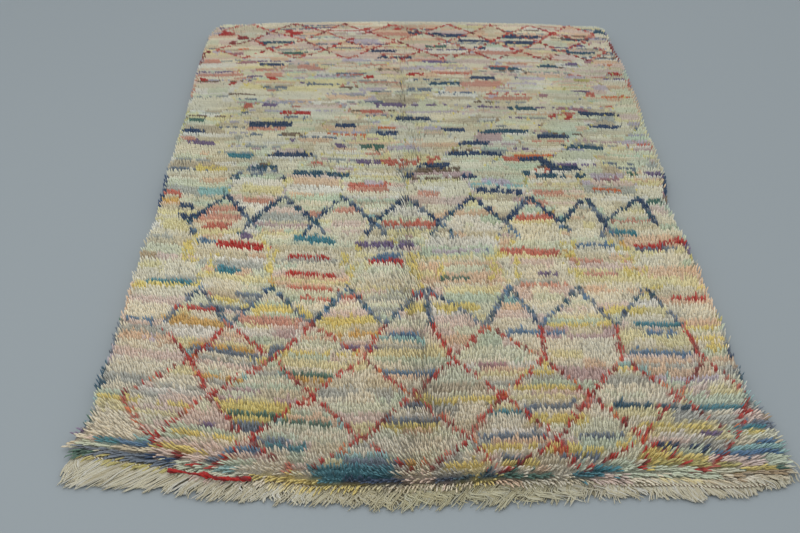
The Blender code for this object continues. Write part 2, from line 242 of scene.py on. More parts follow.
# The bars of strong colour: the yarn, how tall, and the left, right and place along of each. Towards the far
# end they are knotted taller, by this factor
FAR_TALLER = 1.5
THIN_BAR = 0.012
BAR = 0.018
TALL_BAR = 0.033
POST = 0.100
Bars = namedtuple("Bars", "yarn tall places")
BARS = (
    Bars("navy", BAR, (
        (-0.16, -0.06, 0.95), (-0.13, 0.00, 0.90), (-0.01, 0.05, 1.12), (0.07, 0.13, 1.11),
        (0.14, 0.23, 1.10), (0.20, 0.35, 1.05), (0.38, 0.53, 1.09), (0.38, 0.50, 1.04), (0.65, 0.69, 1.02),
        (0.25, 0.30, 0.99), (-0.59, -0.49, 0.83), (0.57, 0.63, 0.975), (0.22, 0.32, 0.73),
        (-0.07, 0.05, 0.41), (-0.28, -0.20, 0.36), (0.09, 0.17, 0.34), (0.61, 0.72, 0.36), (0.59, 0.73, 0.45),
        (-0.81, -0.72, 0.32), (-0.13, -0.06, 0.31), (0.15, 0.25, 0.24), (-0.49, -0.35, 0.16),
        (0.01, 0.11, 0.10), (0.33, 0.43, 0.14), (0.41, 0.46, 0.12), (0.43, 0.54, 0.09), (-0.44, -0.42, 0.03),
        (-0.70, -0.67, -0.27), (-0.74, -0.70, -0.14))),
    Bars("navy", TALL_BAR, (
        (-0.58, -0.43, 0.36), (0.10, 0.29, 0.18), (0.18, 0.33, -0.04), (0.42, 0.53, 0.29), (0.14, 0.19, 0.04),
        (-0.05, -0.01, 0.04), (-0.73, -0.68, -0.20))),
    Bars("petrol", BAR, (
        (-0.61, -0.47, 1.03), (0.29, 0.42, 0.81), (0.22, 0.39, 0.32), (0.50, 0.63, 0.22),
        (-0.55, -0.46, 0.09), (0.38, 0.48, 0.04), (0.34, 0.37, 0.06), (0.51, 0.54, 0.04), (0.62, 0.73, 1.07),
        (0.33, 0.44, 0.49), (0.06, 0.18, 0.68), (-0.60, -0.57, 0.03), (0.03, 0.15, -1.228),
        (0.76, 0.81, 1.14), (0.62, 0.73, 0.95), (0.48, 0.57, 0.83), (0.45, 0.65, -0.99))),
    Bars("petrol", TALL_BAR, ((-0.40, -0.22, 0.05),)),
    Bars("green", BAR, (
        (0.06, 0.14, 1.00), (-0.51, -0.41, 0.93), (-0.19, -0.11, 0.22), (-0.79, -0.73, 0.39),
        (0.05, 0.14, -0.48), (-0.36, -0.24, -0.87), (-0.48, -0.34, -1.01), (-0.35, -0.24, -1.04),
        (0.69, 0.72, 0.06), (0.72, 0.76, -0.10), (0.16, 0.28, -1.215), (0.72, 0.82, -1.18))),
    Bars("teal", BAR, (
        (-0.63, -0.54, 0.15), (-0.38, -0.26, -0.31), (0.57, 0.65, -0.27), (-0.58, -0.52, -0.46),
        (-0.77, -0.64, -0.51), (0.56, 0.70, -0.68), (0.14, 0.24, -1.01), (0.73, 0.82, -1.05),
        (-0.79, -0.73, -1.09), (-0.39, -0.29, -1.11), (0.315, 0.40, -1.205), (0.38, 0.45, -1.188),
        (0.66, 0.78, -0.99))),
    Bars("teal", TALL_BAR, ((-0.28, -0.07, -1.200), (-0.26, -0.10, -1.224))),
    Bars("blue", BAR, (
        (-0.65, -0.60, -0.31), (0.45, 0.57, -0.33), (-0.80, -0.72, -0.66), (0.21, 0.36, -0.71),
        (-0.10, -0.01, -0.73), (0.58, 0.66, -0.72), (0.53, 0.69, -0.79), (-0.12, 0.03, -0.87),
        (0.77, 0.82, -1.10), (0.66, 0.83, -1.13), (-0.73, -0.65, -1.095), (-0.48, -0.39, -1.13),
        (-0.14, -0.06, -0.39))),
    Bars("slate", BAR, (
        (-0.02, 0.07, 0.63), (0.11, 0.27, -1.09), (-0.20, -0.07, -1.165), (0.36, 0.46, -1.085),
        (0.29, 0.42, -1.135), (0.16, 0.21, -1.145), (0.63, 0.75, -0.35), (-0.60, -0.45, -0.62),
        (0.10, 0.20, -0.36), (0.23, 0.38, -0.98), (-0.61, -0.43, -0.80))),
    Bars("slate", TALL_BAR, ((-0.83, -0.60, -1.143),)),
    Bars("red", BAR, (
        (-0.47, -0.37, 0.45), (-0.55, -0.51, 0.71), (-0.18, -0.15, 0.73), (-0.02, 0.04, 0.75),
        (0.54, 0.56, 0.43), (0.75, 0.80, 0.77), (-0.39, -0.26, -0.39), (-0.39, -0.25, -0.48),
        (-0.15, -0.06, -0.42), (0.63, 0.73, -0.33), (0.71, 0.79, -0.31), (-0.68, -0.56, -0.63),
        (0.69, 0.80, -0.58), (-0.51, -0.48, 1.13), (-0.76, -0.73, 1.11),
        (-0.19, -0.16, 1.16), (-0.07, -0.04, 1.16), (0.57, 0.60, 1.13), (-0.80, -0.77, 0.70),
        (-0.69, -0.66, 0.67), (0.48, 0.51, 0.44))),
    Bars("dark_red", BAR, ((-0.70, -0.66, 1.06), (-0.82, -0.79, 0.93), (-0.73, -0.70, 1.02))),
    Bars("red", TALL_BAR, ((-0.78, -0.72, 1.10), (-0.49, -0.44, 1.11))),
    Bars("coral", TALL_BAR, ((-0.61, -0.57, 0.50), (0.64, 0.67, 0.60), (0.51, 0.57, 0.445))),
    Bars("salmon", TALL_BAR, (
        (-0.50, -0.31, -0.665), (-0.56, -0.49, 0.74), (-0.80, -0.74, 0.85), (0.73, 0.76, 1.11))),
    Bars("red", TALL_BAR, ((-0.60, -0.44, -0.34),)),
    Bars("coral", BAR, (
        (-0.19, -0.12, 0.46), (-0.11, 0.05, -0.23), (0.29, 0.42, -0.19), (0.23, 0.40, -0.37),
        (-0.39, -0.24, -0.54), (-0.34, -0.25, -0.59), (-0.25, -0.17, -0.57), (-0.02, 0.02, -0.56),
        (-0.22, -0.09, -0.02), (0.29, 0.34, 0.14), (-0.65, -0.57, -0.24), (-0.80, -0.74, -0.06))),
    Bars("salmon", BAR, (
        (0.23, 0.34, 0.69), (0.45, 0.56, -0.47), (0.27, 0.41, -0.52), (-0.58, -0.45, 0.33),
        (-0.22, -0.10, -0.04), (-0.66, -0.54, -0.15), (-0.55, -0.46, -0.11), (-0.26, -0.18, -0.15),
        (0.32, 0.40, -0.11), (0.36, 0.46, -0.06))),
    Bars("orange", BAR, (
        (-0.04, -0.01, -1.17), (0.28, 0.31, -1.12))),
    Bars("orange", THIN_BAR, (
        (-0.31, -0.17, 0.30), (0.70, 0.81, 0.575), (-0.69, -0.64, 0.955), (0.75, 0.81, 0.84),
        (-0.13, -0.06, 0.34), (0.32, 0.45, 0.17), (0.55, 0.65, -0.03))),
    Bars("mauve", BAR, (
        (-0.71, -0.66, 0.92), (0.68, 0.72, 0.87), (0.46, 0.50, 0.585), (-0.68, -0.60, 0.84),
        (0.51, 0.62, 0.49), (0.12, 0.20, -0.84), (0.57, 0.65, 0.03))),
    Bars("purple", BAR, (
        (0.60, 0.65, 0.85), (0.05, 0.14, 0.86), (-0.54, -0.49, 0.50), (0.645, 0.70, 1.015),
        (-0.14, -0.03, 0.51), (-0.78, -0.68, 0.24), (-0.28, -0.24, 0.23), (-0.20, -0.12, 0.12),
        (0.75, 0.80, 0.06), (-0.19, -0.02, -0.33), (0.33, 0.38, -0.46), (-0.54, -0.51, -1.04),
        (-0.53, -0.50, -0.30), (-0.22, -0.13, -0.77))),
    Bars("lilac", BAR, (
        (-0.27, -0.19, 0.87), (-0.20, -0.10, 0.63), (0.58, 0.65, 0.74), (-0.78, -0.71, 0.93),
        (0.28, 0.31, 0.58), (0.03, 0.09, 0.35), (0.75, 0.80, 0.39), (0.69, 0.79, 0.25), (-0.10, 0.00, 0.21),
        (-0.17, -0.11, 0.00), (0.56, 0.68, 0.04), (0.21, 0.30, 0.01), (0.03, 0.20, -0.36),
        (-0.74, -0.70, -0.75), (0.56, 0.73, -0.89), (0.05, 0.13, 0.80), (-0.05, 0.03, 0.80),
        (0.52, 0.56, 0.00), (0.40, 0.50, 0.72))),
    Bars("lilac", TALL_BAR, ((-0.24, -0.13, 1.05),)),
    Bars("gold", BAR, (
        (-0.61, -0.44, -0.78), (-0.24, -0.12, -0.73),
        (-0.59, -0.46, -0.88), (-0.33, -0.25, -0.90), (0.36, 0.42, -0.17), (-0.81, -0.74, -0.11))),
    Bars("yellow", BAR, (
        (-0.61, -0.46, -1.07), (-0.66, -0.53, -1.11), (-0.13, 0.02, -1.05), (0.00, 0.15, -0.96),
        (0.11, 0.25, -1.11), (0.16, 0.25, -1.17), (0.03, 0.11, -1.165), (0.42, 0.49, -1.10),
        (0.76, 0.82, -1.07), (0.24, 0.32, -0.87), (0.47, 0.54, -0.86), (0.50, 0.68, -1.05),
        (-0.30, -0.18, -1.245), (-0.72, -0.62, 0.08))),
    Bars("gold", TALL_BAR, ((-0.70, -0.54, -0.672),)),
    Bars("yellow", TALL_BAR, (
        (-0.49, -0.33, -0.620), (0.23, 0.38, -1.02), (0.49, 0.60, -0.62), (0.03, 0.15, -0.62),
        (-0.41, -0.25, -1.222))),
    Bars("yellow", BAR, ((-0.26, -0.16, -1.246), (0.10, 0.15, -1.252))),
    Bars("peach", BAR, ((0.53, 0.80, -0.83), (-0.70, -0.62, 0.00), (0.08, 0.22, -0.16), (0.60, 0.75, -0.30))),
    Bars("pink", TALL_BAR, ((0.64, 0.78, -1.155), (-0.66, -0.52, -1.14))),
    Bars("olive", BAR, (
        (0.61, 0.67, 0.71), (-0.83, -0.71, -1.166), (-0.71, -0.60, -1.180), (0.52, 0.72, -1.182))),
    Bars("yellow", BAR, ((0.50, 0.65, -1.150), (0.72, 0.80, -1.195))),
    Bars("celadon", TALL_BAR, (
        (0.44, 0.66, -1.206), (0.33, 0.42, -0.15), (-0.50, -0.40, -1.165), (-0.59, -0.51, -1.175))),
    Bars("aqua", TALL_BAR, ((-0.50, -0.45, -1.190),)),
    Bars("ivory", BAR, ((0.54, 0.65, -1.085),)),
    Bars("purple", BAR, ((0.645, 0.69, -1.075),)),
    Bars("navy", BAR, ((0.52, 0.59, -1.107), (0.605, 0.66, -1.125))),
    Bars("sage", TALL_BAR, ((0.04, 0.21, -0.445), (0.40, 0.50, -1.142))),
    Bars("celadon", TALL_BAR, ((0.34, 0.50, -1.095),)),
    Bars("yellow", BAR, ((0.43, 0.50, -1.112),)),
    Bars("teal", BAR, ((-0.29, -0.09, -1.183),)),
    Bars("sand", BAR, ((-0.12, -0.03, -1.252), (0.06, 0.09, -1.248))),
    Bars("cream", BAR, ((-0.03, 0.06, -1.254),)),
    Bars("gold", BAR, ((-0.06, -0.02, -1.158),)),
    Bars("lemon", TALL_BAR, ((0.05, 0.22, -0.542), (-0.03, 0.035, -0.46))),
    Bars("red", TALL_BAR, ((-0.025, 0.03, -0.553),)),
    Bars("pink", TALL_BAR, ((-0.47, -0.36, -0.155),)),
    Bars("peach", TALL_BAR, ((0.56, 0.72, -0.873),)),
    Bars("sand", TALL_BAR, ((-0.42, -0.27, -0.952), (0.38, 0.47, -0.715))),
    Bars("celadon", BAR, ((-0.84, -0.74, -1.112),)),
    Bars("green", BAR, ((-0.86, -0.80, -1.148), (-0.86, -0.82, -1.172))),
    Bars("petrol", TALL_BAR, ((-0.85, -0.80, -0.91),)),
    Bars("navy", TALL_BAR, ((0.78, 0.84, -0.80),)),
    Bars("navy", BAR, ((-0.67, -0.60, -1.158), (-0.20, -0.07, -1.238), (0.00, 0.05, -1.232))),
    Bars("tan", BAR, ((-0.81, -0.77, -0.38), (0.70, 0.82, -1.214))),
    Bars("brown", BAR, ((0.00, 0.14, 0.07),)),
    Bars("yellow", POST, (
        (-0.69, -0.66, -0.37), (-0.61, -0.59, -0.43), (-0.45, -0.42, -0.41), (-0.04, -0.01, -0.42),
        (0.04, 0.06, -0.43), (0.19, 0.21, -0.44), (0.26, 0.28, -0.44), (0.41, 0.42, -0.43),
        (0.44, 0.46, -0.45), (0.58, 0.60, -0.42), (0.63, 0.65, -0.44), (-0.23, -0.21, -0.43))),
)

# The edges: the yarns that bind the left and the right, up to each place along the rug. Where none is
# given, the pile's own stripes and bars run out to the edge
Run = namedtuple("Run", "top yarns")
LEFT_RUNS = (
    Run(-1.09, ()),
    Run(-1.05, ("purple",)),
    Run(-1.00, ("green", "teal")),
    Run(-0.97, ("grey", "celadon")),
    Run(-0.93, ("aqua", "celadon")),
    Run(-0.83, ("petrol",)),
    Run(-0.76, ("slate", "lilac")),
    Run(-0.66, ("grey", "green", "slate")),
    Run(-0.51, ("peach",)),
    Run(-0.16, ()),
    Run(0.03, ("navy",)),
    Run(0.24, ()),
    Run(0.35, ("lemon",)),
    Run(0.45, ("olive", "sage")),
    Run(0.56, ()),
    Run(0.66, ("peach", "salmon")),
    Run(0.82, ()),
    Run(0.90, ("dark_red", "mauve")),
    Run(9.00, ()),
)
RIGHT_RUNS = (
    Run(-1.03, ()),
    Run(-1.00, ("tan",)),
    Run(-0.90, ("aqua", "slate", "ivory")),
    Run(-0.85, ("navy", "petrol")),
    Run(-0.82, ("peach",)),
    Run(-0.78, ("navy",)),
    Run(-0.71, ("slate", "grey")),
    Run(-0.63, ("olive", "celadon")),
    Run(-0.44, ("peach",)),
    Run(-0.38, ("olive", "ash")),
    Run(-0.31, ("purple", "slate")),
    Run(-0.17, ()),
    Run(-0.10, ("celadon", "grey")),
    Run(-0.05, ("brown", "mauve")),
    Run(0.06, ("navy",)),
    Run(0.27, ("sand",)),
    Run(0.46, ("sage", "lemon")),
    Run(0.65, ("peach",)),
    Run(0.73, ("pink", "coral")),
    Run(0.80, ("celadon",)),
    Run(0.90, ("pink",)),
    Run(1.05, ("dark_red",)),
    Run(9.00, ()),
)

# The sides: how far in from the pile's foot the outermost tufts stand, at places along the rug
Side = namedtuple("Side", "along left right")
SIDES = (
    Side(-1.25, -0.012, 0.010),
    Side(-1.17, -0.010, 0.010),
    Side(-1.10, 0.014, 0.010),
    Side(-1.03, 0.030, 0.010),
    Side(-0.97, 0.022, 0.026),
    Side(-0.90, 0.014, 0.014),
    Side(-0.70, 0.009, 0.006),
    Side(-0.40, 0.008, 0.004),
    Side(-0.22, 0.011, 0.018),
    Side(-0.11, 0.008, 0.020),
    Side(0.00, 0.004, 0.004),
    Side(0.40, 0.005, 0.003),
    Side(1.00, 0.008, 0.003),
    Side(1.12, 0.014, 0.003),
    Side(1.20, 0.034, 0.004),
)

# The fringe: where it reaches to, how it is combed sideways and how it curls, at places across the rug
Fringe = namedtuple("Fringe", "across tip sweep curl")
FRINGE = (
    Fringe(-0.83, -1.206, -0.10, 0.8),
    Fringe(-0.80, -1.222, -0.30, 0.8),
    Fringe(-0.74, -1.232, -0.90, 0.9),
    Fringe(-0.65, -1.236, -1.40, 1.0),
    Fringe(-0.58, -1.242, -1.40, 1.0),
    Fringe(-0.50, -1.262, -1.00, 1.0),
    Fringe(-0.43, -1.276, -0.75, 0.9),
    Fringe(-0.29, -1.284, -0.65, 1.0),
    Fringe(-0.20, -1.290, -0.45, 1.3),
    Fringe(-0.11, -1.302, -0.15, 1.3),
    Fringe(-0.05, -1.310, 0.00, 1.2),
    Fringe(0.03, -1.294, 0.10, 1.5),
    Fringe(0.12, -1.286, 0.05, 1.9),
    Fringe(0.19, -1.298, 0.10, 1.9),
    Fringe(0.25, -1.284, 0.35, 1.6),
    Fringe(0.34, -1.278, 0.40, 1.3),
    Fringe(0.43, -1.270, 0.50, 1.2),
    Fringe(0.52, -1.280, 0.65, 0.6),
    Fringe(0.61, -1.272, 0.65, 0.5),
    Fringe(0.70, -1.264, 0.55, 0.5),
    Fringe(0.76, -1.238, 0.45, 0.8),
    Fringe(0.82, -1.222, 0.25, 0.8),
)
FRINGE_LOCKS = 440
LOCK_STRANDS = 4
FRINGE_RADIUS = 0.0020
FRINGE_STEPS = 8

# The ends of the fringe, how far inside the near rim it starts, and how far left its tips and curls may reach
FRINGE_FROM = -0.825
FRINGE_TO = 0.820
FRINGE_ROOT = 0.006
TIPS_STOP = -0.835
CURLS_STOP = -0.845

# How the strands of the fringe curve from root to tip, and how ragged, how much darker and how blue it is at
# places across the rug
FRINGE_CURVE = 1.2
FRINGE_RAGGED = ((-0.25, -0.15, 0.40, 0.50), (0, 1, 1, 0))
FRINGE_DARKER = ((-0.3, -0.15, 0.20, 0.35, 0.60, 0.75), (0.84, 0.73, 0.71, 0.80, 0.80, 0.72))
FRINGE_BLUE = ((-0.3, -0.1, 0.2, 0.4), (1, 0.85, 0.90, 1))

# The felted foot of the fringe: its ends, how far left it may reach, its faces both ways, and the painted
# shadow that darkens it, for the shade under and between the fringe's strands
FELT_FROM = -0.822
FELT_TO = 0.817
FELT_STOP = -0.84
FELT_WIDE = 320
FELT_DEEP = 4
FELT_PAINTED_SHADE = 0.50

# The heading: two yarns twined along the near edge, which come out from under the pile towards the right, and
# a loose red one over part of it, with clumps at these shares of its length
TWINE_RADIUS = 0.0015
TWINE_TURN = 0.0090
TWINE_STEPS = 6
TWINE_FROM = -0.80
TWINE_TO = 0.76
RED_FROM = -0.597
RED_TO = -0.403
RED_RADIUS = 0.0017
RED_TURN = 0.060
Clump = namedtuple("Clump", "share reach size")
CLUMPS = (Clump(0.05, 0.05, 1.3), Clump(0.46, 0.06, 1.7), Clump(0.58, 0.03, 0.8), Clump(0.69, 0.06, 1.3),
          Clump(0.82, 0.03, 0.9), Clump(0.93, 0.07, 1.3))

# How far past the near rim these yarns lie and how high: the two at places across the rug, and the red one at
# shares of its length
TWINE_PAST = ((0.36, 0.46, 0.72), (0.006, 0.020, 0.024))
TWINE_HEIGHT = ((0.36, 0.46), (0.0090, 0.0115))
RED_PAST = ((0, 0.25, 0.45, 0.60, 1), (0.0230, 0.0190, 0.0150, 0.0180, 0.0120))
RED_HEIGHT = ((0, 0.4), (0.017, 0.022))

# The direction that the first corner of each ring of these yarns stands square to
UPWARD = (0.0, 0.1, 1.0)

# The near edge: how far the first row stands past the pile's foot, and how far its tufts hang over it and lie
# sideways
Edge = namedtuple("Edge", "across spill hang aside")
EDGES = (
    Edge(-0.82, 0.014, 0.95, -0.9),
    Edge(-0.71, 0.016, 1.00, -1.1),
    Edge(-0.52, 0.020, 1.00, -1.0),
    Edge(-0.41, 0.018, 1.00, -0.7),
    Edge(-0.23, 0.010, 1.00, -0.5),
    Edge(0.05, 0.007, 0.95, 0.2),
    Edge(0.16, 0.003, 0.90, 0.4),
    Edge(0.30, 0.000, 0.85, 0.7),
    Edge(0.60, 0.001, 0.85, 1.0),
    Edge(0.73, 0.006, 0.85, 0.9),
    Edge(0.82, 0.010, 0.90, 0.5),
)

# How deep the pile fans out along the near rim, how much its tufts swing sideways there, how far the lean of
# the parting reaches to each side, and how far the far rim bulges out in the middle
RIM_FAN = 0.024
RIM_SWING = 0.75
PARTING_REACH = 0.05
FAR_BULGE = 0.014

# How the pile leans, in radians: across and along the rug, more along it where it is shaggy, outwards within
# this far of the sides and the far rim, in the two near corners, away from the parting, and at the very most
LEAN_ACROSS = -0.20
LEAN_ALONG = 0.30
LEAN_ALONG_SHAGGY = 0.20
SIDE_FAN = 0.035
LEFT_LEAN = 0.12
RIGHT_LEAN = 0.62
FAR_FAN = 0.030
FAR_LEAN = 0.30
RIGHT_CORNER_LEAN = 1.05
LEFT_CORNER_LEAN = 0.30
PARTING_LEAN = 0.16
MOST_LEAN = 1.25
MORE_AT_RIM = 0.35

# The sizes of the patches and of the tussocks in which the lean changes, how much it varies across and along
# from one pair of tufts to the next, and where the parting runs and how far it strays
PATCH = 0.30
TUSSOCK = 0.05
PAIR_ACROSS = 0.24
PAIR_ALONG = 0.30
PARTING_PLACE = -0.02
PARTING_STRAY = 0.03

# How unevenly the yarns show: how much their fading varies in patches, their shade in patches, in streaks at
# places along the rug and from one pair of tufts to the next, and their warmth in patches and between pairs
PATCH_FADING = 0.8
PATCH_SHADE = 0.05
STREAK_SHADE = ((-0.8, -0.3), (0.06, 0.12))
PAIR_SHADE = 0.08
PATCH_WARMTH = 0.04
PAIR_WARMTH = 0.03

# The shade of the ground weave on its underside, and the painted shade on its top, for the shade between the
# tufts
BACK_SHADE = 0.8
FACE_PAINTED_SHADE = 0.35

# The height over the floor at which the chart's places were read
CHART_HEIGHT = 0.020

# The side cords: their radius, how far apart the turns of yarn are and by what share they stand out, how far
# past the near rim they start and how far before their solids' ends they stop, their faces, and their shade
CORD_RADIUS = 0.0043
CORD_TURN = 0.008
CORD_WRAP = 0.13
CORD_START = 0.030
CORD_END = 0.004
CORD_RINGS = 640
CORD_SIDES = 6
CORD_SHADE = 0.85

# The floor, the light all round and the two lamps
FLOOR_COLOUR = (0.295, 0.325, 0.335, 1)
SKY_COLOUR = (0.90, 0.95, 1.0, 1)
SKY_STRENGTH = 0.78
Lamp = namedtuple("Lamp", "name place size power")
LAMPS = (Lamp("key", (-0.9, -1.2, 3.4), 3.5, 38), Lamp("fill", (2.2, 1.6, 3.6), 3.0, 8))


def chance(*keys):
    """A number from 0 to 1 that depends only on the whole numbers given, one for each element."""
    mixed = np.uint64(1469598103934665603)
    with np.errstate(over="ignore"):
        for key in keys:
            key = np.asarray(key).astype(np.int64).astype(np.uint64)
            mixed = (mixed ^ key) * np.uint64(1099511628211)
            mixed = mixed ^ (mixed >> np.uint64(29))
            mixed = mixed * np.uint64(0xBF58476D1CE4E5B9)
            mixed = mixed ^ (mixed >> np.uint64(32))
    return (mixed >> np.uint64(11)).astype(float) / float(1 << 53)


def smooth_noise(x, y, cell, seed):
    """Noise from -1 to 1 that changes smoothly over about cell metres."""
    u, v = x / cell, y / cell
    i, j = np.floor(u).astype(int), np.floor(v).astype(int)
    f, g = u - i, v - j
    f, g = f * f * (3 - 2 * f), g * g * (3 - 2 * g)
    a, b = chance(i, j, seed), chance(i + 1, j, seed)
    c, d = chance(i, j + 1, seed), chance(i + 1, j + 1, seed)
    return 2 * ((a * (1 - f) + b * f) * (1 - g) + (c * (1 - f) + d * f) * g) - 1


def wave(x, cell, seed):
    """Noise from -1 to 1 that changes smoothly along one direction."""
    return smooth_noise(x, 0 * x, cell, seed)


def rim_of_pile():
    """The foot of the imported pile's wall, seen from above, as functions of the place along each side."""
    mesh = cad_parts["pile"].data
    foot = np.array([v.co[:2] for v in mesh.vertices if v.co.z < 1e-4])
    low, high = foot.min(0), foot.max(0)
    margin = 0.06

    def line(chosen, axis):
        picked = foot[chosen]
        picked = picked[np.argsort(picked[:, 1 - axis])]
        return lambda place: np.interp(place, picked[:, 1 - axis], picked[:, axis])

    left = line(foot[:, 0] < low[0] + margin, 0)
    right = line(foot[:, 0] > high[0] - margin, 0)
    near = line(foot[:, 1] < low[1] + 2 * margin, 1)
    far = line(foot[:, 1] > high[1] - margin, 1)
    return left, right, near, far


LEFT, RIGHT, FOOT_NEAR, FOOT_FAR = rim_of_pile()
HALF_ACROSS = 0.81


def column_at(table, column, place):
    """A column of a table, at places along the table's first column."""
    return np.interp(place, [entry[0] for entry in table], [getattr(entry, column) for entry in table])


def edge(column, x):
    """A column of the near edge's table, at places across the rug."""
    return column_at(EDGES, column, x)


def near_rim(x):
    return FOOT_NEAR(x) - edge("spill", x)


def far_rim(x):
    return FOOT_FAR(x) + FAR_BULGE * np.clip(1 - (x / 0.7) ** 2, 0, 1)


COLUMNS = round(2 * HALF_ACROSS / TUFT_PITCH)
ROWS = round((far_rim(0) - near_rim(0)) / ROW_PITCH)


def inset(side, y):
    """How far in from the pile's foot the outermost tufts stand on the left or the right."""
    return column_at(SIDES, side, y)


def place_of(across, along):
    """The place on the rug that is these shares of the way across and along it."""
    x = (2 * across - 1) * HALF_ACROSS
    closer = FAN_SHARE * FAN_DEPTH
    along = (along * (1 + ROW_SHARE * (1 - along)) - closer * (1 - np.exp(-along / FAN_DEPTH))) / (1 - closer)
    y = near_rim(x) * (1 - along) + far_rim(x) * along
    y = y + ROW_WAVE * 4 * along * (1 - along) * smooth_noise(x, y, 0.11, 59)
    return (LEFT(y) + inset("left", y)) * (1 - across) + (RIGHT(y) - inset("right", y)) * across, y


def row_pitch(y):
    """How far apart the rows stand at a place along the rug."""
    return ROW_PITCH * np.interp(y, [near_rim(0), far_rim(0)], [1 + ROW_SHARE, 1 - ROW_SHARE])


def linear(rgb):
    """A colour from 0 to 255 as linear light."""
    share = np.asarray(rgb, float) / 255
    return np.where(share <= 0.04045, share / 12.92, ((share + 0.055) / 1.055) ** 2.4)


def light_of(*names):
    """The colours of yarns as linear light, one row for each."""
    return np.array([linear(YARNS[name]) for name in names])


TONES = light_of(*NAMES)


def pick(shares, number):
    """Yarns drawn by their shares, from numbers between 0 and 1."""
    edges = np.cumsum(list(shares.values())) / sum(shares.values())
    drawn = np.minimum(np.searchsorted(edges, number), len(edges) - 1)
    return np.array([NAMES.index(name) for name in shares])[drawn]


def lines_from(near, far):
    """The lines that join the meeting places of one level to those of the next."""
    return [(a, b) for a in near.meets for b in far.meets if abs(a - b) <= near.reach]


def stripes(x, y, row, column):
    """The yarn of each tuft before lines and bars are laid in: short stripes that fill the lattice."""
    yarn = np.zeros(x.shape, int)
    ragged = RAGGED * (chance(row, column // 5, 11) - 0.5)
    for k, (near, far) in enumerate(zip(LEVELS, LEVELS[1:])):
        share = (y - near.along) / (far.along - near.along)
        inside = (share >= 0) & (share < 1)
        cell = sum((a + (b - a) * share < x + ragged).astype(int) for a, b in lines_from(near, far))
        most = np.interp(near.along, [-1, 1], [STRIPE_ROWS_NEAR, STRIPE_ROWS_FAR])
        tall = 1 + np.floor(most * chance(cell, k, 12)).astype(int)
        stripe = (row + np.floor(5 * chance(cell, k, 13)).astype(int)) // tall
        cut = (chance(cell, k, stripe, 14) - 0.5) * CUT_SPREAD
        middle = near.meets[0] + CELL * cell
        half = ((x - middle) % CELL - CELL / 2 > cut) & (chance(cell, k, stripe, 15) < CUT_SHARE)
        number = chance(cell, k, stripe, 16 + half)
        for z, zone in enumerate(ZONES):
            low = ZONES[z - 1].top if z else -9
            chosen = inside & (y >= low) & (y < zone.top)
            yarn[chosen] = pick(zone.shares, number[chosen])
        dashed = inside & (y > DOTS_FROM) & (chance(cell, k, row, 18) < DOTS_SHARE)
        dotted = dashed & (chance(row, column // 3, 19) < DOTS_KEPT)
        yarn[dotted] = pick(DOTS, chance(cell, k, row, 17)[dotted])
    return yarn


def lay_bars(yarn, x, y, row, column):
    """Lays the bars of strong colour over the stripes, ragged at their ends."""
    for b, bars in enumerate(BARS):
        for n, (left, right, along) in enumerate(bars.places):
            span = (np.array([left, right]) / HALF_ACROSS + 1) / 2 * COLUMNS
            ends = np.clip(span, 0, COLUMNS - 1).astype(int)
            shown = y[:, ends[0]:ends[1] + 1].mean(1)
            half = bars.tall / 2 * (np.interp(along, [-0.8, 0.1], [1, FAR_TALLER]) if bars.tall == BAR else 1)
            foot, top = np.interp([along - half, along + half], shown, np.arange(ROWS))
            tall = max(1, round(top - foot))
            first = round((foot + top - tall + 1) / 2)
            low = left - RAGGED * (chance(row, b, n, 21) - 0.5)
            high = right + RAGGED * (chance(row, b, n, 22) - 0.5)
            laid = (row >= first) & (row < first + tall) & (x > low) & (x < high)
            laid &= chance(row, column // 2, 23) > (POST_GAPS if bars.tall == POST else BAR_GAPS)
            yarn[laid] = NAMES.index(bars.yarn)


def lay_lines(yarn, x, y, row, column):
    """Lays the lattice's lines, a knot or two wide, with a few knots left out."""
    for k, (near, far) in enumerate(zip(LEVELS, LEVELS[1:])):
        share = (y - near.along) / (far.along - near.along)
        inside = (share >= 0) & (share < 1)
        for n, (a, b) in enumerate(lines_from(near, far)):
            wander = 0.005 * (chance(row, n, k, 31) - 0.5)
            slant = LINE_SLOPE * abs(b - a) / (far.along - near.along) * row_pitch(near.along)
            half = max(LINE_HALF[near.mix], slant)
            laid = inside & (np.abs(a + (b - a) * share + wander - x) < half)
            laid &= chance(row, n, k, 32) < near.kept
            yarn[laid] = pick(MIXES[near.mix], chance(row[laid], n, k, 33))


def lay_edges(yarn, y, row, column):
    """Lays the yarns that run up the two sides."""
    for runs, side in ((LEFT_RUNS, column < 2), (RIGHT_RUNS, column >= COLUMNS - 2)):
        low = -9
        for run in runs:
            here = side & (y >= low) & (y < run.top)
            low = run.top
            if run.yarns:
                drawn = np.floor(len(run.yarns) * chance(row[here], column[here] < 2, 34)).astype(int)
                yarn[here] = np.array([NAMES.index(name) for name in run.yarns])[drawn]


def shag(y):
    """How shaggy the pile is along the rug: less so towards the far end, where it lies smoother."""
    share = np.clip((y + 0.50) / 0.80, 0, 1)
    return 1 - 0.76 * share * share * (3 - 2 * share)


def past_parting(x, y):
    """How far a place lies to the right of the parting that runs up the middle of the rug."""
    return x - PARTING_PLACE - PARTING_STRAY * smooth_noise(0 * x, y, 0.2, 57)


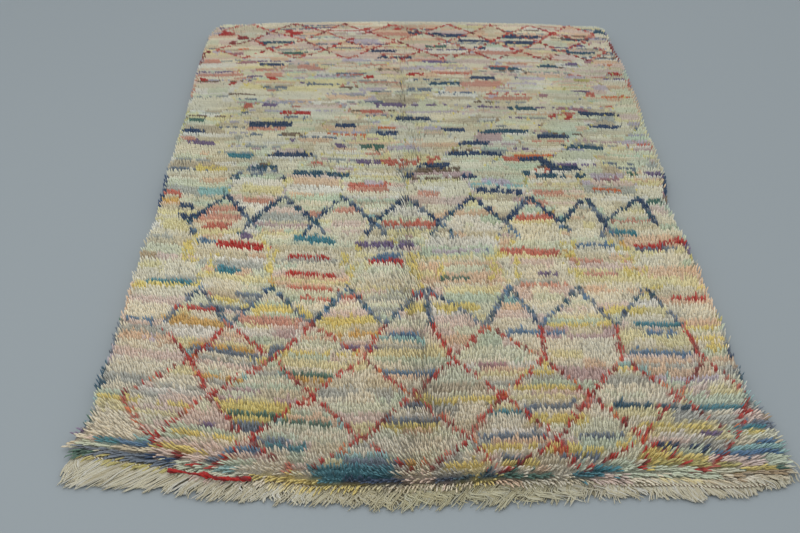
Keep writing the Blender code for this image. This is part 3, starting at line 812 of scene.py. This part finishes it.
def drift(x, y):
    """How far the pile leans across and along the rug, in radians, as it changes smoothly."""
    loose = shag(y)
    across = LEAN_ACROSS + 0.14 * smooth_noise(x, y, PATCH, 51)
    across += 0.16 * loose * smooth_noise(x, y, TUSSOCK, 52)
    along = LEAN_ALONG + LEAN_ALONG_SHAGGY * loose + 0.10 * smooth_noise(x, y, PATCH, 54)
    along += 0.14 * loose * smooth_noise(x, y, TUSSOCK, 55)
    from_left, from_right = x - LEFT(y), RIGHT(y) - x
    from_near, from_far = y - near_rim(x), far_rim(x) - y
    across -= LEFT_LEAN * np.exp(-from_left / SIDE_FAN)
    across += RIGHT_LEAN * np.exp(-from_right / SIDE_FAN)
    across += RIGHT_CORNER_LEAN * np.clip((x - 0.42) / 0.30, 0, 1) * np.clip((-0.88 - y) / 0.16, 0, 1)
    across -= LEFT_CORNER_LEAN * np.clip((-0.45 - x) / 0.20, 0, 1) * np.clip((-0.85 - y) / 0.20, 0, 1)
    fan = np.exp(-from_near / RIM_FAN)
    swing = np.tanh(2 * edge("aside", x) + 1.5 * wave(x, 0.10, 60))
    across += edge("aside", x) * fan + RIM_SWING * 4 * fan * (1 - fan) * swing
    along -= 2.0 * edge("hang", x) * fan
    along += FAR_LEAN * np.exp(-from_far / FAR_FAN)
    parting = past_parting(x, y)
    depth = PARTING_LEAN + 0.10 * smooth_noise(0 * x, y, 0.14, 58)
    across += depth * np.tanh(parting / 0.010) * np.exp(-np.abs(parting) / PARTING_REACH)
    limit = np.minimum(1, (MOST_LEAN + MORE_AT_RIM * fan) / np.maximum(np.hypot(across, along), 1e-6))
    return across * limit, along * limit


def near_parting(x, y):
    """How near a place is to the parting, from 1 on it down towards 0 away from it."""
    return np.exp(-np.abs(past_parting(x, y)) / PARTING_REACH)


def settled(x, y):
    """Where the tips of the tufts that stand at these places show in the chart."""
    across, along = drift(x, y)
    angle = np.maximum(np.hypot(across, along), 1e-6)
    reach = SEEN_SHARE * STRAND_LENGTH * np.sin(SEEN_BEND * angle)
    rise = SEEN_SHARE * STRAND_LENGTH * np.cos(SEEN_BEND * angle)
    sight = (y - CAMERA_PLACE[1]) / CAMERA_PLACE[2]
    return x + reach * across / angle, y + reach * along / angle + (rise - CHART_HEIGHT) * sight


def tone(column, y):
    """A column of the tones' table, at places along the rug."""
    return column_at(TONES_ALONG, column, y)


def chart():
    """The colour of every tuft, as rows of tufts from the near end."""
    column, row = np.meshgrid(np.arange(COLUMNS), np.arange(ROWS))
    x, y = settled(*place_of((column + 0.5) / COLUMNS, (row + 0.5) / ROWS))
    yarn = stripes(x, y, row, column)
    lay_bars(yarn, x, y, row, column)
    lay_lines(yarn, x, y, row, column)
    lay_edges(yarn, y, row, column)
    drawn = chance(row, column // 2, 46)
    step = (drawn < BORROWED / 2).astype(int) - (drawn > 1 - BORROWED / 2)
    yarn = yarn[np.clip(row + step, 0, ROWS - 1), column]
    colour = TONES[yarn]
    faded = tone("faded", y) * (1 + PATCH_FADING * smooth_noise(x, y, 0.16, 47))
    colour = colour + (linear(YARNS["cream"]) - colour) * faded[..., None]
    shade = 1 + PAIR_SHADE * shag(y) * (chance(row, column // 2, 42) - 0.5)
    shade += PATCH_SHADE * smooth_noise(x, y, 0.15, 43)
    shade += np.interp(y, *STREAK_SHADE) * smooth_noise(x, 8 * y, 0.10, 48)
    # The tones' shade along the rug is painted light and shade, brightening or darkening the pile at each
    # place
    shade *= tone("shade", y)
    warmth = PATCH_WARMTH * smooth_noise(x, y, 0.11, 44)
    warmth += PAIR_WARMTH * shag(y) * (chance(row, column // 2, 45) - 0.5)
    tint = np.stack([1 + warmth + tone("warm", y), np.ones(x.shape), 1 - 1.4 * warmth], -1)
    return colour * shade[..., None] * tint


CHART = chart()


def link(name, data):
    made = bpy.data.objects.new(name, data)
    bpy.context.scene.collection.objects.link(made)
    return made


def add_piece(name, data, node, material):
    """A piece that rides on the rug and stands for one of its solids."""
    data.materials.append(material)
    piece = link(name, data)
    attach(piece, "root")
    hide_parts(node)
    return piece


def mesh_of(name, points, order, sizes, colour, height, spread):
    """A smooth mesh from corners in order, with its yarn colours, heights along the yarn and map."""
    mesh = bpy.data.meshes.new(name)
    mesh.vertices.add(len(points))
    mesh.vertices.foreach_set("co", points.astype(np.float32).ravel())
    mesh.loops.add(order.size)
    mesh.loops.foreach_set("vertex_index", order.astype(np.int32).ravel())
    mesh.polygons.add(len(sizes))
    mesh.polygons.foreach_set("loop_start", np.concatenate([[0], np.cumsum(sizes)[:-1]]).astype(np.int32))
    mesh.polygons.foreach_set("loop_total", sizes.astype(np.int32))
    mesh.polygons.foreach_set("use_smooth", np.ones(len(sizes), bool))
    mesh.update(calc_edges=True)
    yarn = mesh.color_attributes.new("yarn", "FLOAT_COLOR", "POINT")
    rgba = np.ones((len(points), 4), np.float32)
    rgba[:, :3] = colour
    yarn.data.foreach_set("color", rgba.ravel())
    mesh.attributes.new("height", "FLOAT", "POINT").data.foreach_set("value", height.astype(np.float32))
    if spread is not None:
        layer = mesh.uv_layers.new(name="OFBake", do_init=False)
        layer.uv.foreach_set("vector", spread.astype(np.float32).ravel())
    return mesh


def grid_faces(wide, high):
    """The corners of each face of a grid that is this many faces wide and high."""
    i, j = (part.ravel() for part in np.meshgrid(np.arange(wide), np.arange(high)))
    first = j * (wide + 1) + i
    return np.stack([first, first + wide + 1, first + wide + 2, first + 1], 1)


def sheet_mesh(name, points, order, colour):
    """A mesh of four-cornered faces, with its yarn colours."""
    return mesh_of(name, points, order, np.full(len(order), 4), colour, np.ones(len(points)), None)


def strands_mesh(name, places, radius, guide, colour):
    """Strands as one mesh. Each runs through its places: a point, three-sided rings, and a point."""
    count, steps = places.shape[:2]
    rings = steps - 2
    along = places[:, 2:] - places[:, :-2]
    along /= np.linalg.norm(along, axis=2)[..., None]
    side = np.cross(along, guide[:, None, :])
    side /= np.linalg.norm(side, axis=2)[..., None]
    other = np.cross(along, side)
    angle = np.arange(3) * 2 * math.pi / 3
    spoke = np.cos(angle)[:, None] * side[:, :, None] + np.sin(angle)[:, None] * other[:, :, None]
    ring = places[:, 1:-1, None] + radius[:, :, None, None] * spoke
    points = np.concatenate([places[:, :1], ring.reshape(count, -1, 3), places[:, -1:]], 1)
    per = points.shape[1]
    faces, patch = [], []
    for k in range(3):
        left, right, middle = k / 3, (k + 1) / 3, (k + 0.5) / 3
        a, b = 1 + k, 1 + (k + 1) % 3
        faces.append((b, a, 0))
        patch.append(((right, 1), (left, 1), (middle, 0)))
        for r in range(rings - 1):
            low, high = 3 * r, 3 * r + 3
            faces.append((a + low, b + low, b + high, a + high))
            patch.append(((left, r + 1), (right, r + 1), (right, r + 2), (left, r + 2)))
        top = 3 * (rings - 1)
        faces.append((a + top, b + top, per - 1))
        patch.append(((left, rings), (right, rings), (middle, rings + 1)))
    flat = np.concatenate([np.array(face) for face in faces])
    order = np.arange(count)[:, None] * per + flat
    sizes = np.tile([len(face) for face in faces], count)
    corner = np.concatenate([np.array(face, float) for face in patch]) / (1, rings + 1)
    grid = math.ceil(math.sqrt(count))
    cell = np.stack([np.arange(count) % grid, np.arange(count) // grid], 1)
    spread = (cell[:, None] + 0.08 + 0.84 * corner) / grid
    height = np.concatenate([[0], np.repeat(np.arange(1, rings + 1), 3), [rings + 1]]) / (rings + 1)
    hues = np.repeat(colour, per, 0)
    return mesh_of(name, points.reshape(-1, 3), order, sizes, hues, np.tile(height, count), spread)


def lean(x, y, row, column):
    """How far each tuft leans from upright across and along the rug, in radians."""
    across, along = drift(x, y)
    across = across + PAIR_ACROSS * shag(y) * (chance(row, column // 2, 53) - 0.5)
    along = along + PAIR_ALONG * shag(y) * (chance(row, column // 2, 56) - 0.5)
    return across, along


def bent(root, across, along, length, stretches):
    """The places along strands that lean more and more towards their tips."""
    angle = np.hypot(across, along)
    toward = np.stack([across, along], 1) / np.maximum(angle, 1e-6)[:, None]
    places, low = [root], 0
    for stretch in stretches:
        size = length * (stretch.top - low)
        flat = (np.sin(angle * stretch.bend) * size)[:, None]
        step = np.concatenate([toward * flat, (np.cos(angle * stretch.bend) * size)[:, None]], 1)
        places.append(places[-1] + step)
        low = stretch.top
    places[-1][:, 2] = np.maximum(places[-1][:, 2], 0.003)
    return np.stack(places, 1)


def make_pile(wool):
    """Every tuft, in pieces from the near end to the far end."""
    rng = np.random.default_rng(7)
    column, row = (part.ravel() for part in np.meshgrid(np.arange(COLUMNS), np.arange(ROWS)))
    count = len(row)
    wander = 0.70 * smooth_noise(column * TUFT_PITCH, row * ROW_PITCH, 0.06, 61)
    stagger = 0.50 * (2 * (row % 2) - 1)
    shift = TUFT_SPREAD / TUFT_PITCH * rng.uniform(-1, 1, count)
    second = column % 2
    across = (column + 0.5 + wander + stagger + shift) / COLUMNS
    along = (row + 0.2 + 0.3 * second + rng.uniform(0, 0.3, count)) / ROWS
    x, y = place_of(np.clip(across, 0.001, 0.999), along)
    loose = shag(y)
    parted = near_parting(x, y)
    sunk = chance(row, column, 67) < loose * (SUNK + SUNK_AT_PARTING * parted)
    sideways, forward = lean(x, y, row, column)
    sideways += loose * rng.normal(0, 0.05, count)
    forward += loose * rng.normal(0, 0.06, count)
    length = STRAND_LENGTH * (1 - 0.08 * second) * (1 + loose * rng.uniform(-0.16, 0.04, count))
    length *= 1 - SUNK_SHORTER * sunk
    root = np.stack([x, y, np.full(count, STRAND_ROOT)], 1)
    places = bent(root, sideways, forward, length, END)
    thick = np.interp(y, [-0.7, 0.5], [RADIUS_NEAR, RADIUS_FAR])
    thick = thick * (1 + 0.15 * loose * rng.uniform(-1, 1, count))
    thick *= 1 - THINNER_AT_PARTING * parted
    radius = thick[:, None] * [stretch.thick for stretch in END[:-1]]
    turn = loose * rng.uniform(0, 2 * math.pi, count)
    guide = np.stack([np.cos(turn), np.sin(turn), np.full(count, 0.15)], 1)
    colour = CHART[row, column] * (1 + (0.02 + 0.05 * loose) * rng.uniform(-1, 1, count))[:, None]
    # Painted shade on the sunk tufts, for the shade deep between the others
    colour *= (1 - SUNK_PAINTED_SHADE * sunk)[:, None]
    made = []
    for n, chosen in enumerate(np.array_split(np.arange(count), PILE_PIECES)):
        name = f"pile_{n + 1}"
        mesh = strands_mesh(name, places[chosen], radius[chosen], guide[chosen], colour[chosen])
        made.append(add_piece(name, mesh, "pile", wool))
    return made


def make_body(wool):
    """The matted mass of the pile that the loose tips stand out of, down to the weave all round its rim."""
    column, row = np.meshgrid(np.arange(0, COLUMNS, 4), np.arange(ROWS))
    x, y = place_of((column + 0.5) / COLUMNS, (row + 0.5) / ROWS)
    across, along = drift(x, y)
    parted = near_parting(x, y)
    fanned = np.exp(-(y - near_rim(x)) / BODY_RIM_DEPTH)
    uneven = 1 + 0.16 * (chance(row, column, 65) - 0.6)
    uneven = uneven - BODY_LOWER_AT_RIM * fanned - BODY_LOWER_AT_PARTING * parted
    length = STRAND_LENGTH * np.maximum(0.2, uneven)
    root = np.stack([x, y, np.full(x.shape, STRAND_ROOT)], -1)
    top = bent(root.reshape(-1, 3), across.ravel(), along.ravel(), length.ravel(), BODY)[:, -1]
    high, wide = x.shape

    def rimmed(values):
        return np.pad(values, ((1, 1), (1, 1), (0, 0)), "edge")

    points = rimmed(top.reshape(high, wide, 3))
    rim = np.ones((high + 2, wide + 2), bool)
    rim[1:-1, 1:-1] = False
    points[rim] = rimmed(root)[rim]
    order = grid_faces(wide + 1, high + 1)[:, [0, 3, 2, 1]]
    # Painted shade: the body is darkened for the shade deep among the tufts, more near the rim and the
    # parting
    shade = np.interp(y, [-0.9, 0.3], [BODY_PAINTED_SHADE_NEAR, BODY_PAINTED_SHADE_FAR])
    shade = shade * (1 - BODY_PAINTED_SHADE_AT_PARTING * parted - BODY_PAINTED_SHADE_AT_RIM * fanned)
    colour = rimmed(CHART[row, column] * shade[..., None]).reshape(-1, 3)
    mesh = sheet_mesh("pile_body", points.reshape(-1, 3), order, colour)
    return add_piece("pile_body", mesh, "pile", wool)


def make_weave(weave):
    """The ground that the tufts are knotted into: one flat sheet, with the knots' backs on its underside."""
    across, along = COLUMNS // 8, ROWS // 2
    u, v = np.meshgrid(np.linspace(0.004, 0.996, across + 1), np.linspace(0.003, 0.997, along + 1))
    x, y = place_of(u, v)
    ripple = 0.0003 * smooth_noise(x, y, 0.02, 71)
    low = np.stack([x, y, 0.0002 + 0 * x], -1).reshape(-1, 3)
    high = np.stack([x, y, WEAVE_THICKNESS + ripple], -1).reshape(-1, 3)
    points = np.concatenate([low, high])
    wide = across + 1
    under = grid_faces(across, along)
    over = under[:, ::-1] + len(low)
    loop = np.concatenate([
        np.arange(across),
        across + wide * np.arange(along),
        wide * along + np.arange(across, 0, -1),
        wide * np.arange(along, 0, -1),
    ])
    following = np.roll(loop, -1)
    rim = np.stack([loop, following, following + len(low), loop + len(low)], 1)
    order = np.concatenate([under, over, rim])
    rows = np.minimum(2 * np.arange(along + 1), ROWS - 1)
    columns = np.minimum(8 * np.arange(wide), COLUMNS - 1)
    tufts = CHART[rows][:, columns].reshape(-1, 3)
    # The top of the weave, seen between the tufts, is darkened with painted shade
    colour = np.concatenate([tufts * BACK_SHADE, tufts * FACE_PAINTED_SHADE])
    mesh = sheet_mesh("ground_weave", points, order, colour)
    return add_piece("ground_weave", mesh, "pile", weave)


def fringe_at(x):
    """Where the fringe starts, how far it reaches, and how it is combed and curls, across the rug."""
    root = near_rim(x) + FRINGE_ROOT
    reach = root - column_at(FRINGE, "tip", x)
    return root, reach, column_at(FRINGE, "sweep", x), column_at(FRINGE, "curl", x)


def make_fringe(wool):
    """The warp ends that lie on the floor past the near edge, in locks combed sideways and curled."""
    rng = np.random.default_rng(11)
    lock = np.repeat(np.arange(FRINGE_LOCKS), LOCK_STRANDS)
    count = len(lock)

    def shared(low, high):
        return rng.uniform(low, high, FRINGE_LOCKS)[lock]

    start = np.linspace(FRINGE_FROM, FRINGE_TO, FRINGE_LOCKS)[lock]
    start = start + shared(-0.003, 0.003) + rng.uniform(-0.003, 0.003, count)
    root, reach, sweep, curls = fringe_at(start)
    ragged = np.interp(start, *FRINGE_RAGGED)
    reach = reach * shared(0.70, 1.02) * (1 - (0.16 + 0.20 * ragged) * rng.uniform(0, 1, count))
    sweep = sweep + 0.30 * wave(start, 0.035, 81)
    sweep = sweep + shared(-0.24, 0.24) + rng.normal(0, 0.08, count)
    sweep = np.maximum(sweep, (TIPS_STOP - start) / reach)
    t = np.append(np.linspace(0, 0.95, FRINGE_STEPS - 1), 1)
    curl = (0.008 + shared(-0.002, 0.004)) * curls
    pace = 4.6 + 2.0 * curls + shared(-0.8, 0.8)
    phase = 6 * wave(start, 0.05, 84) + shared(-1.2, 1.2) + rng.uniform(-0.6, 0.6, count)
    bend = curl[:, None] * np.sin(t * pace[:, None] + phase[:, None])
    bend = (bend - bend[:, :1]) * np.minimum(1, reach / 0.06)[:, None]
    x = start[:, None] + sweep[:, None] * reach[:, None] * t ** FRINGE_CURVE + bend
    y = root[:, None] - reach[:, None] * t + 0.5 * bend
    layer = shared(0, 1)[:, None]
    z = (0.003 + 0.004 * layer) * (1 - t) + (0.0026 + 0.003 * layer) * t
    z = z + 0.005 * np.sin(math.pi * t) * shared(0, 1)[:, None] + rng.uniform(0, 0.0015, (count, 1))
    places = np.stack([np.maximum(x, CURLS_STOP), y, z], -1)
    thick = FRINGE_RADIUS * rng.uniform(0.8, 1.15, (count, 1)) * np.linspace(1, 0.75, FRINGE_STEPS - 2)
    thick *= 1 - 0.15 * ragged[:, None]
    guide = np.tile([0.1, 0.05, 1.0], (count, 1))
    tones = light_of("cream", "ivory", "sand")
    colour = tones[np.searchsorted([0.5, 0.7], rng.uniform(0, 1, count))] * shared(0.94, 1.04)[:, None]
    colour *= np.interp(start, *FRINGE_DARKER)[:, None]
    colour[:, 2] *= np.interp(start, *FRINGE_BLUE)
    tint = np.maximum(0, wave(start, 0.09, 86))[:, None]
    colour = colour * (1 - 0.4 * tint) + 0.4 * tint * linear(YARNS["fawn"])
    mesh = strands_mesh("fringe_ends", places, thick, guide, colour)
    return add_piece("fringe_ends", mesh, "fringe", wool)


def make_felt(wool):
    """The foot of the fringe, where its ends are felted together, darkened with painted shadow for the shade
    between the strands above it.
    """
    start = np.linspace(FELT_FROM, FELT_TO, FELT_WIDE + 1)
    root, reach, sweep, _ = fringe_at(start)
    t = np.linspace(0, 1, FELT_DEEP + 1)[:, None]
    reach = reach * (0.50 + 0.20 * chance(np.arange(FELT_WIDE + 1), 87))
    x = np.maximum(start + sweep * reach * t ** FRINGE_CURVE, FELT_STOP)
    points = np.stack([x, root - reach * t, 0.0046 - 0.0034 * t + 0 * x], -1).reshape(-1, 3)
    # Painted shadow: the felt is drawn dark for the shade under and between the fringe's strands
    colour = np.tile(FELT_PAINTED_SHADE * linear(YARNS["sand"]), (len(points), 1))
    mesh = sheet_mesh("fringe_felt", points, grid_faces(FELT_WIDE, FELT_DEEP), colour)
    return add_piece("fringe_felt", mesh, "fringe", wool)


def twined(x, count, turn, gap, past, height):
    """Yarns twisted round each other along the near edge, as the places that each runs through."""
    angle = 2 * math.pi * (x / turn + np.arange(count)[:, None] / count)
    y = near_rim(x) - past + gap * np.cos(angle)
    z = height + gap * np.sin(angle)
    return np.stack([np.broadcast_to(x, y.shape), y, z], -1)


def make_heading(wool):
    """The pair of yarns that is twined through the warps at the foot of the pile."""
    x = np.linspace(TWINE_FROM, TWINE_TO, math.ceil((TWINE_TO - TWINE_FROM) / TWINE_TURN * TWINE_STEPS))
    past = np.interp(x, *TWINE_PAST)
    height = np.interp(x, *TWINE_HEIGHT)
    places = twined(x, 2, TWINE_TURN, 0.9 * TWINE_RADIUS, past, height)
    thick = np.full((2, len(x) - 2), TWINE_RADIUS)
    guide = np.tile(UPWARD, (2, 1))
    colour = light_of("cream", "brown")
    mesh = strands_mesh("heading_twine", places, thick, guide, colour)
    return add_piece("heading_twine", mesh, "fringe", wool)


def make_red_yarn(wool):
    """The loose red yarns that run along the foot of the pile on the left, clumped here and there."""
    x = np.linspace(RED_FROM, RED_TO, 120)
    share = np.linspace(0, 1, len(x))
    size = 1 + sum(clump.size * np.exp(-((share - clump.share) / clump.reach) ** 2) for clump in CLUMPS)
    size = size * (1 + 0.25 * wave(x, 0.004, 88))
    past = np.interp(share, *RED_PAST)
    height = np.interp(share, *RED_HEIGHT)
    places = twined(x, 3, RED_TURN, 0.8 * RED_RADIUS * size, past, height)
    places[:, :, 1] += 0.003 * wave(places[:, :, 0], 0.03, 85)
    thick = np.tile(RED_RADIUS * size[1:-1], (3, 1))
    guide = np.tile(UPWARD, (3, 1))
    colour = 0.85 * light_of("red", "dark_red", "red")
    mesh = strands_mesh("red_yarn", places, thick, guide, colour)
    return add_piece("red_yarn", mesh, "fringe", wool)


def make_cord(side, rim, out, runs, wool):
    """A side cord, wrapped round and round in yarn, with the colours that run up that side."""
    name, node = f"cord_{side}", f"side_cord_{side}"
    y = np.linspace(near_rim(rim(-1.0)) + CORD_START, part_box(node)[1][1] - CORD_END, CORD_RINGS)
    x = rim(y) + out * (0.001 - inset(side, y))
    around = np.arange(CORD_SIDES)
    turn = around * 2 * math.pi / CORD_SIDES
    wrap = 1 + CORD_WRAP * np.cos(turn[None] + 2 * math.pi * y[:, None] / CORD_TURN)
    radius = CORD_RADIUS * wrap
    px = x[:, None] + radius * np.cos(turn)
    pz = CORD_RADIUS * 1.14 + radius * np.sin(turn)
    points = np.stack([px, np.broadcast_to(y[:, None], px.shape), pz], -1).reshape(-1, 3)
    i, j = (part.ravel() for part in np.meshgrid(around, np.arange(CORD_RINGS - 1)))
    a, b = j * CORD_SIDES + i, j * CORD_SIDES + (i + 1) % CORD_SIDES
    walls = np.stack([b, a, a + CORD_SIDES, b + CORD_SIDES], 1)
    order = np.concatenate([walls.ravel(), around, (CORD_RINGS - 1) * CORD_SIDES + around[::-1]])
    sizes = np.append(np.full(len(walls), 4), [CORD_SIDES, CORD_SIDES])
    tones = CORD_SHADE * light_of(*((run.yarns or ("sand",))[0] for run in runs))
    tone = tones[np.searchsorted([run.top for run in runs], y)]
    tone = tone * (0.9 + 0.2 * chance(np.floor(y / CORD_TURN), 91))[:, None]
    mesh = mesh_of(name, points, order, sizes, np.repeat(tone, CORD_SIDES, 0), np.ones(len(points)), None)
    return add_piece(name, mesh, node, wool)


def make_wool(name, tip_fade_and_light, grain, unevenness):
    """Matte spun wool: the yarn's colour, paler at the tip from faded yarn and painted light, with fibres of
    this fineness and unevenness.
    """
    made = bpy.data.materials.new(name)
    made.use_nodes = True
    nodes = made.node_tree.nodes
    shader = nodes["Principled BSDF"]
    shader.inputs["Specular IOR Level"].default_value = 0.25
    shader.inputs["Sheen Weight"].default_value = 0.15
    shader.inputs["Sheen Roughness"].default_value = 0.5

    def node(kind, **values):
        fresh = nodes.new("ShaderNode" + kind)
        for socket, value in values.items():
            fresh.inputs[socket.replace("_", " ")].default_value = value
        return fresh

    def join(source, output, target, socket):
        made.node_tree.links.new(source.outputs[output], target.inputs[socket])

    yarn = node("Attribute")
    yarn.attribute_name = "yarn"
    height = node("Attribute")
    height.attribute_name = "height"
    # Paler towards the tip: partly faded yarn, partly painted light where light reaches the tips more than
    # deeper in the pile
    faded_and_lit_tip = node("MapRange", From_Min=0.5, To_Max=tip_fade_and_light)
    join(height, "Fac", faded_and_lit_tip, "Value")
    paler = node("MixRGB", Color2=(*linear(YARNS["cream"]), 1))
    join(faded_and_lit_tip, "Result", paler, "Fac")
    join(yarn, "Color", paler, "Color1")
    place = node("TexCoord")
    fibres = node("TexNoise", Scale=grain, Detail=2)
    join(place, "Object", fibres, "Vector")
    mottle = node("MapRange", From_Min=0.3, From_Max=0.7, To_Min=1 - unevenness, To_Max=1 + unevenness)
    join(fibres, "Fac", mottle, "Value")
    tint = node("VectorMath")
    tint.operation = "SCALE"
    join(paler, "Color", tint, "Vector")
    join(mottle, "Result", tint, "Scale")
    join(tint, "Vector", shader, "Base Color")
    rough = node("MapRange", To_Min=0.75, To_Max=1.0)
    join(fibres, "Fac", rough, "Value")
    join(rough, "Result", shader, "Roughness")
    bump = node("Bump", Strength=0.4, Distance=0.0005)
    join(fibres, "Fac", bump, "Height")
    join(bump, "Normal", shader, "Normal")
    return made


def make_floor():
    """The bare floor that the rug lies on, a little below it."""
    bpy.ops.mesh.primitive_plane_add(size=14, location=(0, 1, -0.0005))
    floor = bpy.context.object
    floor.name = "floor"
    paint = bpy.data.materials.new("floor")
    paint.use_nodes = True
    shader = paint.node_tree.nodes["Principled BSDF"]
    shader.inputs["Base Color"].default_value = FLOOR_COLOUR
    shader.inputs["Roughness"].default_value = 0.7
    floor.data.materials.append(paint)


def make_lights():
    """Soft light from all round, and two lamps overhead, one towards the front and one towards the back."""
    world = bpy.data.worlds.new("studio")
    world.use_nodes = True
    sky = world.node_tree.nodes["Background"]
    sky.inputs["Color"].default_value = SKY_COLOUR
    sky.inputs["Strength"].default_value = SKY_STRENGTH
    bpy.context.scene.world = world
    for lamp in LAMPS:
        light = bpy.data.lights.new(lamp.name, "AREA")
        light.energy = lamp.power
        light.size = lamp.size
        placed = link(lamp.name, light)
        placed.location = lamp.place
        aim = Vector((0, 0, 0)) - placed.location
        placed.rotation_euler = aim.to_track_quat("-Z", "Y").to_euler()


def make_camera():
    """The camera that the picture is taken from."""
    data = bpy.data.cameras.new("camera")
    data.lens = CAMERA_LENS
    data.sensor_width = SENSOR_WIDTH
    camera = link("camera", data)
    turn = Matrix.Rotation(math.radians(-CAMERA_YAW), 4, "Z")
    tilt = Matrix.Rotation(math.radians(90 - CAMERA_PITCH), 4, "X")
    roll = Matrix.Rotation(math.radians(CAMERA_ROLL), 4, "Z")
    camera.matrix_world = Matrix.Translation(CAMERA_PLACE) @ turn @ tilt @ roll
    bpy.context.scene.camera = camera


bpy.context.scene.view_settings.view_transform = "Standard"
make_camera()
make_lights()
make_floor()
WOOL = make_wool("wool", tip_fade_and_light=0.08, grain=900, unevenness=0.04)
PLAIN_WOOL = make_wool("plain_wool", tip_fade_and_light=0.0, grain=900, unevenness=0.04)
MATTED_WOOL = make_wool("matted_wool", tip_fade_and_light=0.0, grain=420, unevenness=0.50)
PILE = [*make_pile(WOOL), make_body(MATTED_WOOL)]
GROUND = make_weave(PLAIN_WOOL)
ENDS = [make_fringe(PLAIN_WOOL), make_felt(PLAIN_WOOL)]
TWINES = [make_heading(PLAIN_WOOL), make_red_yarn(PLAIN_WOOL)]
CORDS = [
    make_cord("left", LEFT, -1, LEFT_RUNS, PLAIN_WOOL),
    make_cord("right", RIGHT, 1, RIGHT_RUNS, PLAIN_WOOL),
]
